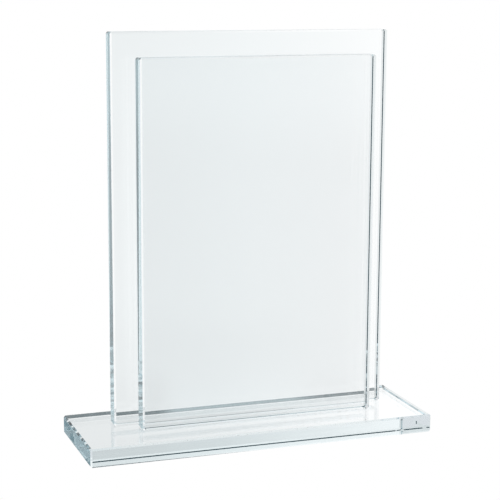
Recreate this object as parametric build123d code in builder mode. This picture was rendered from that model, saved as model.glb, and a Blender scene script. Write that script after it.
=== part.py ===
"""Crystal award: a clear glass base plate with two upright glass panes standing on it, one behind the other.

Millimetres. +X runs along the base, +Y from the front to the back, +Z up.
The origin is the middle of the base's underside.
"""

import os

from build123d import *

# Base plate
BASE_WIDTH = 201.2
BASE_DEPTH = 66.0
BASE_HEIGHT = 10.5

# The wide pane at the back, which stands a little to the right of the base's middle
BACK_WIDTH = 162.1
BACK_THICKNESS = 10.0
BACK_TOP = 229.3
BACK_SHIFT = 2.7
BACK_FACE_Y = 1.6
BACK_FILM_MARGIN = 1.7

# The narrower, shorter pane in front of it
FRONT_WIDTH = 136.8
FRONT_THICKNESS = 10.5
FRONT_TOP = 216.0
FRONT_SHIFT = 2.9
FRONT_FACE_Y = -11.5
FRONT_FILM_MARGIN = 2.6

# Polished 45-degree bevel, called an arris, on every glass edge
ARRIS = 0.9

# Clear adhesive film under each pane; it stops short of the pane's edges by the film margin
FILM_THICKNESS = 0.1
PANE_BOTTOM = BASE_HEIGHT + FILM_THICKNESS

os.makedirs("parts", exist_ok=True)


def stand_plane(middle_x, face_y, thickness):
    """Plane on the base's top face, centred under a pane."""
    return Plane(origin=(middle_x, face_y + thickness / 2, BASE_HEIGHT), z_dir=(0, 0, 1))


def make_pane(stand, width, thickness, top):
    """An upright slab with bevelled edges that stands on the adhesive film."""
    with BuildPart() as pane:
        with BuildSketch(stand.offset(FILM_THICKNESS)):
            Rectangle(width, thickness)
        extrude(amount=top - PANE_BOTTOM)
        chamfer(pane.edges(), length=ARRIS)
    return pane


def make_film(stand, width, thickness, margin):
    """The thin adhesive layer between the base and one pane."""
    with BuildPart() as film:
        with BuildSketch(stand):
            Rectangle(width - 2 * margin, thickness - 2 * margin)
        extrude(amount=FILM_THICKNESS)
    return film


back_stand = stand_plane(BACK_SHIFT, BACK_FACE_Y, BACK_THICKNESS)
front_stand = stand_plane(FRONT_SHIFT, FRONT_FACE_Y, FRONT_THICKNESS)

with BuildPart() as base:
    with BuildSketch(Plane.XY):
        Rectangle(BASE_WIDTH, BASE_DEPTH)
    extrude(amount=BASE_HEIGHT)
    chamfer(base.edges(), length=ARRIS)
base.part.label = "base"
export_step(base.part, "parts/base.step")

back_pane = make_pane(back_stand, BACK_WIDTH, BACK_THICKNESS, BACK_TOP)
back_pane.part.label = "back_pane"
export_step(back_pane.part, "parts/back_pane.step")

front_pane = make_pane(front_stand, FRONT_WIDTH, FRONT_THICKNESS, FRONT_TOP)
front_pane.part.label = "front_pane"
export_step(front_pane.part, "parts/front_pane.step")

back_pane_bond = make_film(back_stand, BACK_WIDTH, BACK_THICKNESS, BACK_FILM_MARGIN)
back_pane_bond.part.label = "back_pane_bond"
export_step(back_pane_bond.part, "parts/back_pane_bond.step")

front_pane_bond = make_film(front_stand, FRONT_WIDTH, FRONT_THICKNESS, FRONT_FILM_MARGIN)
front_pane_bond.part.label = "front_pane_bond"
export_step(front_pane_bond.part, "parts/front_pane_bond.step")
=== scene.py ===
"""Looks for the crystal award: polished plate glass in a bright-field studio."""

import math

import bmesh
import bpy
from mathutils import Matrix, Vector


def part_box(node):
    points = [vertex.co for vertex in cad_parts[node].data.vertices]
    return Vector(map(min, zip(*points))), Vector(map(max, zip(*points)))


MM = 0.001
WHITE = (1.0, 1.0, 1.0, 1.0)
DEGREES_PER_RADIAN = 180 / math.pi

CAMERA_LENS_MM = 107.0
CAMERA_SENSOR_MM = 36.0
# The camera's place from the middle of the base's top face, and how it is turned
CAMERA_OFFSET = Vector((-0.27576, -0.77483, 0.25360))
CAMERA_YAW = math.radians(19.641)
CAMERA_PITCH = math.radians(10.812)
CAMERA_ROLL = math.radians(0.299)

GLASS_IOR = 1.52
# A glass face inside a bonded joint doesn't bend light, because the glue matches the glass
MATCHED_IOR = 1.0
BOND_REACH = 0.05 * MM
# Volume colour and density: what one metre of this glass lets through is colour ^ density
GLASS_TINT = (0.733, 0.883, 0.925, 1.0)
GLASS_TINT_DENSITY = 6.0
ADHESIVE_IOR = 1.5

# A face looks along an axis when that part of its normal is above this; a 45-degree bevel's is 0.71
FACING_LIMIT = 0.9
# Polishing: a plate's large faces are flat, its narrow edges a little wavy, its bevels slightly matt
EDGE_WAVE_SIZE = 7.0 * MM
EDGE_WAVE_HEIGHT = 0.004 * MM
FACE_WAVE_SIZE = 60.0 * MM
FACE_WAVE_HEIGHT = 0.002 * MM
WAVE_DETAIL = 2.0
FACE_ROUGHNESS = 0.03
EDGE_ROUGHNESS = 0.02
BEVEL_ROUGHNESS = 0.03
# Smudges on the large faces, and the noise levels where one starts and where it is full
SMUDGE_SIZE = 25.0 * MM
SMUDGE_DETAIL = 4.0
SMUDGE_START = 0.5
SMUDGE_FULL = 0.75
# Bubbles in the glue; the radius is a share of the spacing
BUBBLE_SPACING = 2.0 * MM
BUBBLE_RADIUS = 0.08

FLOOR_SIZE = 20.0
# Painted shade beside the base's left end: how far the dark glowing sheet reaches, and its colour
SHADE_REACH = 20.0 * MM
SHADE_COLOUR = (0.20, 0.22, 0.24, 1.0)
LIGHT_PATH_BOUNCES = 48

# Studio light. Angles are in degrees; an azimuth is counted to the right from the camera's line.
ROOM_AROUND = [
    # azimuth, brightness
    (-180, 0.70),
    (-140, 0.75),
    (-60, 0.90),
    (-24, 0.94),
    (-6, 0.96),
    (0, 1.02),
    (60, 1.00),
    (115, 0.90),
    (140, 0.60),
    (152, 0.70),
    (180, 0.70),
]
ROOM_UPWARD = [
    # elevation, brightness
    (-90, 0.85),
    (-36, 0.88),
    (-21, 0.86),
    (-13, 1.00),
    (-8, 1.00),
    (3, 0.92),
    (12, 0.84),
    (20, 0.74),
    (34, 0.85),
    (50, 0.82),
    (90, 0.80),
]
ROOM_TINT = (0.975, 1.0, 1.005, 1.0)
DARK_CARD = (0.020, 0.055, 0.070, 1.0)
SMOKE_CARD = (0.28, 0.36, 0.38, 1.0)
TEAL_CARD = (0.42, 0.52, 0.55, 1.0)
GREY_CARD = (0.82, 0.82, 0.84, 1.0)
WHITE_CARD = (1.05, 1.05, 1.05, 1.0)
CARDS = [
    # azimuth of the middle, half width, lowest, highest, softness, colour
    (22, 15, -60, 40, 9, WHITE_CARD),
    (27, 4, 14, 40, 5, GREY_CARD),
    (-50, 10, 8, 45, 10, GREY_CARD),
    (-93, 9, -24, 24, 4, DARK_CARD),
    (-134, 10, -36, 2, 5, DARK_CARD),
    (-54, 10, 56, 68, 3, DARK_CARD),
    (110, 9, 64, 74, 3, DARK_CARD),
    (144, 8, -40, -14, 4, TEAL_CARD),
    (145, 7, -10, 30, 4, SMOKE_CARD),
    (143.5, 6.5, -14, -8, 4, DARK_CARD),
    (132.8, 4.8, -34, -16, 1.6, DARK_CARD),
    (148.5, 4, -34, -16, 1, DARK_CARD),
    (114, 14, -74, -56, 4, DARK_CARD),
    (-155, 18, -66, -54, 4, DARK_CARD),
]

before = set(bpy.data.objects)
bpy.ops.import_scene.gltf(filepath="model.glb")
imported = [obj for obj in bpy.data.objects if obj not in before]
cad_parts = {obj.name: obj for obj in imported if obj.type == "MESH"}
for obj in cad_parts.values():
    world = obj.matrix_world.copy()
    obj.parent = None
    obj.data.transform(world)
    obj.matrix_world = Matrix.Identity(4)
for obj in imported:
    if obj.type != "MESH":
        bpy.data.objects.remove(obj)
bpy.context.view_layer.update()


class Shader:
    """A node tree that is written as an expression."""

    # Sockets of a Mix node that mixes colours: by number, because its names aren't unique
    MIX_INPUTS = (0, 6, 7)
    MIX_RESULT = 2

    def __init__(self, tree):
        self.tree = tree
        tree.nodes.clear()

    def node(self, kind, inputs=None, **settings):
        made = self.tree.nodes.new(kind)
        for name, value in settings.items():
            setattr(made, name, value)
        for name, value in (inputs or {}).items():
            self.feed(made.inputs[name], value)
        return made

    def feed(self, socket, value):
        if isinstance(value, bpy.types.NodeSocket):
            self.tree.links.new(value, socket)
        else:
            socket.default_value = value

    def maths(self, operation, *values, kind="ShaderNodeMath"):
        made = self.node(kind, operation=operation)
        for socket, value in zip(made.inputs, values):
            self.feed(socket, value)
        return made.outputs[0]

    def vector_maths(self, operation, *values):
        return self.maths(operation, *values, kind="ShaderNodeVectorMath")

    def split(self, vector):
        return self.node("ShaderNodeSeparateXYZ", {"Vector": vector}).outputs

    def largest(self, vector):
        """The largest of a vector's three parts."""
        parts = self.split(vector)
        return self.maths("MAXIMUM", parts["X"], self.maths("MAXIMUM", parts["Y"], parts["Z"]))

    def weighted(self, *pairs):
        """The sum of some values, each times its weight."""
        total, *others = [self.maths("MULTIPLY", weight, value) for weight, value in pairs]
        for other in others:
            total = self.maths("ADD", total, other)
        return total

    def share(self, value, start, end, interpolation="LINEAR"):
        """How far a value has come from start to end, 0 to 1."""
        inputs = {"Value": value, "From Min": start, "From Max": end}
        return self.node("ShaderNodeMapRange", inputs, interpolation_type=interpolation).outputs[0]

    def smooth_share(self, value, start, end):
        """The same, easing in and out at both ends."""
        return self.share(value, start, end, "SMOOTHSTEP")

    def mix_colour(self, factor, first, second, blend="MIX"):
        made = self.node("ShaderNodeMix", data_type="RGBA", blend_type=blend)
        for number, value in zip(self.MIX_INPUTS, (factor, first, second)):
            self.feed(made.inputs[number], value)
        return made.outputs[self.MIX_RESULT]

    def tinted(self, colour, tint):
        return self.mix_colour(1.0, colour, tint, "MULTIPLY")

    def ramp(self, angle, stops, span):
        """Grey levels at given angles, in a span of degrees whose middle is 0."""
        made = self.node("ShaderNodeValToRGB", {"Fac": self.share(angle, -span / 2, span / 2)})
        elements = made.color_ramp.elements
        while len(elements) < len(stops):
            elements.new(1.0)
        for element, (stop_angle, level) in zip(elements, stops):
            element.position = stop_angle / span + 0.5
            element.color = (level, level, level, 1)
        return made.outputs[0]

    def noise(self, place, size, detail):
        made = self.node("ShaderNodeTexNoise", {"Vector": place, "Scale": 1.0 / size, "Detail": detail})
        return made.outputs[0]


def new_material(name):
    material = bpy.data.materials.new(name)
    material.use_nodes = True
    return material, Shader(material.node_tree)


def object_place(shader):
    """Where a point lies on its piece, in metres."""
    return shader.node("ShaderNodeTexCoord").outputs["Object"]


def facing(shader):
    """How far a face looks along each axis, either way, as a vector of parts from 0 to 1."""
    normal = shader.node("ShaderNodeNewGeometry").outputs["True Normal"]
    return shader.vector_maths("ABSOLUTE", normal)


def inside_box(shader, place, low, high):
    """1 where a place lies in a box, else 0."""
    from_middle = shader.vector_maths("ABSOLUTE", shader.vector_maths("SUBTRACT", place, (low + high) / 2))
    past_sides = shader.vector_maths("SUBTRACT", from_middle, (high - low) / 2)
    return shader.maths("LESS_THAN", shader.largest(past_sides), 0.0)


def glass_material(name, flat_axis, bonds):
    """Polished plate glass; flat_axis is the axis across the plate's large faces.

    Its faces inside the named adhesive films let light through unbent.
    """
    material, shader = new_material(name)
    place = object_place(shader)
    towards = facing(shader)
    bevel = shader.maths("LESS_THAN", shader.largest(towards), FACING_LIMIT)
    face = shader.maths("GREATER_THAN", shader.split(towards)[flat_axis], FACING_LIMIT)
    edge = shader.maths("SUBTRACT", 1.0, shader.maths("MAXIMUM", bevel, face))

    smudges = shader.smooth_share(shader.noise(place, SMUDGE_SIZE, SMUDGE_DETAIL), SMUDGE_START, SMUDGE_FULL)
    smudge_roughness = shader.maths("MULTIPLY", smudges, FACE_ROUGHNESS)
    roughness = shader.weighted((face, smudge_roughness), (edge, EDGE_ROUGHNESS), (bevel, BEVEL_ROUGHNESS))

    edge_wave = shader.maths("MULTIPLY", shader.noise(place, EDGE_WAVE_SIZE, WAVE_DETAIL), EDGE_WAVE_HEIGHT)
    face_wave = shader.maths("MULTIPLY", shader.noise(place, FACE_WAVE_SIZE, WAVE_DETAIL), FACE_WAVE_HEIGHT)
    height = shader.weighted((edge, edge_wave), (face, face_wave))
    bump = shader.node("ShaderNodeBump", {"Height": height, "Strength": 1.0, "Distance": 1.0})

    bonded = 0.0
    reach = Vector((0, 0, BOND_REACH))
    for bond in bonds:
        low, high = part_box(bond)
        bonded = shader.maths("MAXIMUM", bonded, inside_box(shader, place, low - reach, high + reach))
    ior = shader.maths("ADD", GLASS_IOR, shader.maths("MULTIPLY", bonded, MATCHED_IOR - GLASS_IOR))
    surface = shader.node(
        "ShaderNodeBsdfPrincipled",
        {
            "Base Color": WHITE,
            "Roughness": roughness,
            "IOR": ior,
            "Normal": bump.outputs[0],
            "Transmission Weight": 1.0,
        },
    )
    volume = shader.node("ShaderNodeVolumeAbsorption", {"Color": GLASS_TINT, "Density": GLASS_TINT_DENSITY})
    shader.node("ShaderNodeOutputMaterial", {"Surface": surface.outputs[0], "Volume": volume.outputs[0]})
    return material


def adhesive_material():
    """Cured clear glue: the film's thin sides bend light, its flat faces only hold a few tiny bubbles."""
    material, shader = new_material("adhesive")
    place = object_place(shader)
    flat = shader.maths("GREATER_THAN", shader.split(facing(shader))["Z"], FACING_LIMIT)
    cells = shader.node("ShaderNodeTexVoronoi", {"Vector": place, "Scale": 1.0 / BUBBLE_SPACING})
    bubble = shader.maths("LESS_THAN", cells.outputs["Distance"], BUBBLE_RADIUS)
    clear_share = shader.maths("MULTIPLY", flat, shader.maths("SUBTRACT", 1.0, bubble))
    glue = shader.node(
        "ShaderNodeBsdfPrincipled",
        {"Base Color": WHITE, "Roughness": 0.0, "IOR": ADHESIVE_IOR, "Transmission Weight": 1.0},
    )
    clear = shader.node("ShaderNodeBsdfTransparent")
    surface = shader.node("ShaderNodeMixShader", {0: clear_share, 1: glue.outputs[0], 2: clear.outputs[0]})
    shader.node("ShaderNodeOutputMaterial", {"Surface": surface.outputs[0]})
    return material


def dress(node, material):
    """Gives a CAD node its material."""
    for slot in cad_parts[node].material_slots:
        slot.material = material


def studio():
    """A bright room with a few dark cards that draw the glass's edges."""
    world = bpy.data.worlds.new("studio")
    bpy.context.scene.world = world
    world.use_nodes = True
    shader = Shader(world.node_tree)
    direction = shader.node("ShaderNodeTexCoord").outputs["Generated"]
    x, y, z = shader.split(direction)
    elevation = shader.maths("MULTIPLY", shader.maths("ARCSINE", z), DEGREES_PER_RADIAN)

    def azimuth_from(degrees):
        """The direction's azimuth in degrees, counted from one that is given from the camera's line."""
        turn = CAMERA_YAW + math.radians(degrees)
        ahead = shader.weighted((x, math.sin(turn)), (y, math.cos(turn)))
        right = shader.weighted((x, math.cos(turn)), (y, -math.sin(turn)))
        return shader.maths("MULTIPLY", shader.maths("ARCTAN2", right, ahead), DEGREES_PER_RADIAN)

    around = shader.ramp(azimuth_from(0), ROOM_AROUND, 360)
    upward = shader.ramp(elevation, ROOM_UPWARD, 180)
    light = shader.tinted(shader.tinted(around, upward), ROOM_TINT)
    for middle, half_width, lowest, highest, softness, colour in CARDS:
        aside = shader.maths("ABSOLUTE", azimuth_from(middle))
        share = shader.smooth_share(aside, half_width + softness, half_width)
        share = shader.maths("MULTIPLY", share, shader.smooth_share(elevation, lowest - softness, lowest))
        share = shader.maths("MULTIPLY", share, shader.smooth_share(elevation, highest + softness, highest))
        light = shader.mix_colour(share, light, colour)
    camera_ray = shader.node("ShaderNodeLightPath").outputs["Is Camera Ray"]
    seen = shader.mix_colour(camera_ray, light, WHITE)
    background = shader.node("ShaderNodeBackground", {"Color": seen})
    shader.node("ShaderNodeOutputWorld", {"Surface": background.outputs[0]})


def glowing_sheet(name, corners, colour, unseen_by):
    """A flat sheet at floor height that gives off its own light and is left out of some kinds of ray."""
    mesh = bpy.data.meshes.new(name)
    form = bmesh.new()
    form.faces.new([form.verts.new((x, y, 0)) for x, y in corners])
    form.to_mesh(mesh)
    form.free()
    made = bpy.data.objects.new(name, mesh)
    bpy.context.collection.objects.link(made)
    for ray in unseen_by:
        setattr(made, "visible_" + ray, False)
    material, shader = new_material(name)
    glow = shader.node("ShaderNodeEmission", {"Color": colour})
    shader.node("ShaderNodeOutputMaterial", {"Surface": glow.outputs[0]})
    mesh.materials.append(material)
    return made


def floor():
    """A pale floor that only the camera sees: the room's light already reaches the glass from below."""
    far = FLOOR_SIZE / 2
    corners = [(-far, -far), (far, -far), (far, far), (-far, far)]
    made = glowing_sheet("floor", corners, WHITE, ("diffuse", "glossy", "transmission", "shadow"))


def side_shade():
    """Painted shade: a dark glowing sheet at floor height beside the base's left end, standing in for the
    floor's shade there, which only that end's reflection shows.
    """
    low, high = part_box("base")
    corners = [
        (low.x - SHADE_REACH, low.y - SHADE_REACH),
        (low.x, low.y - SHADE_REACH),
        (low.x, high.y + 2 * SHADE_REACH),
        (low.x - SHADE_REACH, high.y + 2 * SHADE_REACH),
    ]
    made = glowing_sheet("side_shade", corners, SHADE_COLOUR, ("camera", "diffuse", "transmission", "shadow"))


def camera():
    low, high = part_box("base")
    top_middle = Vector(((low.x + high.x) / 2, (low.y + high.y) / 2, high.z))
    forward = Vector(
        (
            math.sin(CAMERA_YAW) * math.cos(CAMERA_PITCH),
            math.cos(CAMERA_YAW) * math.cos(CAMERA_PITCH),
            -math.sin(CAMERA_PITCH),
        )
    )
    right = Vector((math.cos(CAMERA_YAW), -math.sin(CAMERA_YAW), 0))
    turn = Matrix((right, right.cross(forward), -forward)).transposed().to_4x4()
    data = bpy.data.cameras.new("camera")
    data.lens = CAMERA_LENS_MM
    data.sensor_width = CAMERA_SENSOR_MM
    made = bpy.data.objects.new("camera", data)
    made.matrix_world = (
        Matrix.Translation(top_middle + CAMERA_OFFSET) @ turn @ Matrix.Rotation(CAMERA_ROLL, 4, "Z")
    )
    bpy.context.collection.objects.link(made)
    bpy.context.scene.camera = made


camera()
floor()
side_shade()
studio()
dress("base", glass_material("base_glass", "Z", ["back_pane_bond", "front_pane_bond"]))
dress("back_pane", glass_material("back_pane_glass", "Y", ["back_pane_bond"]))
dress("front_pane", glass_material("front_pane_glass", "Y", ["front_pane_bond"]))
glue = adhesive_material()
dress("back_pane_bond", glue)
dress("front_pane_bond", glue)

scene = bpy.context.scene
scene.view_settings.view_transform = "Standard"
cycles = scene.cycles
cycles.max_bounces = LIGHT_PATH_BOUNCES
cycles.transmission_bounces = LIGHT_PATH_BOUNCES
cycles.glossy_bounces = LIGHT_PATH_BOUNCES
cycles.transparent_max_bounces = LIGHT_PATH_BOUNCES
cycles.sample_clamp_indirect = 0.0
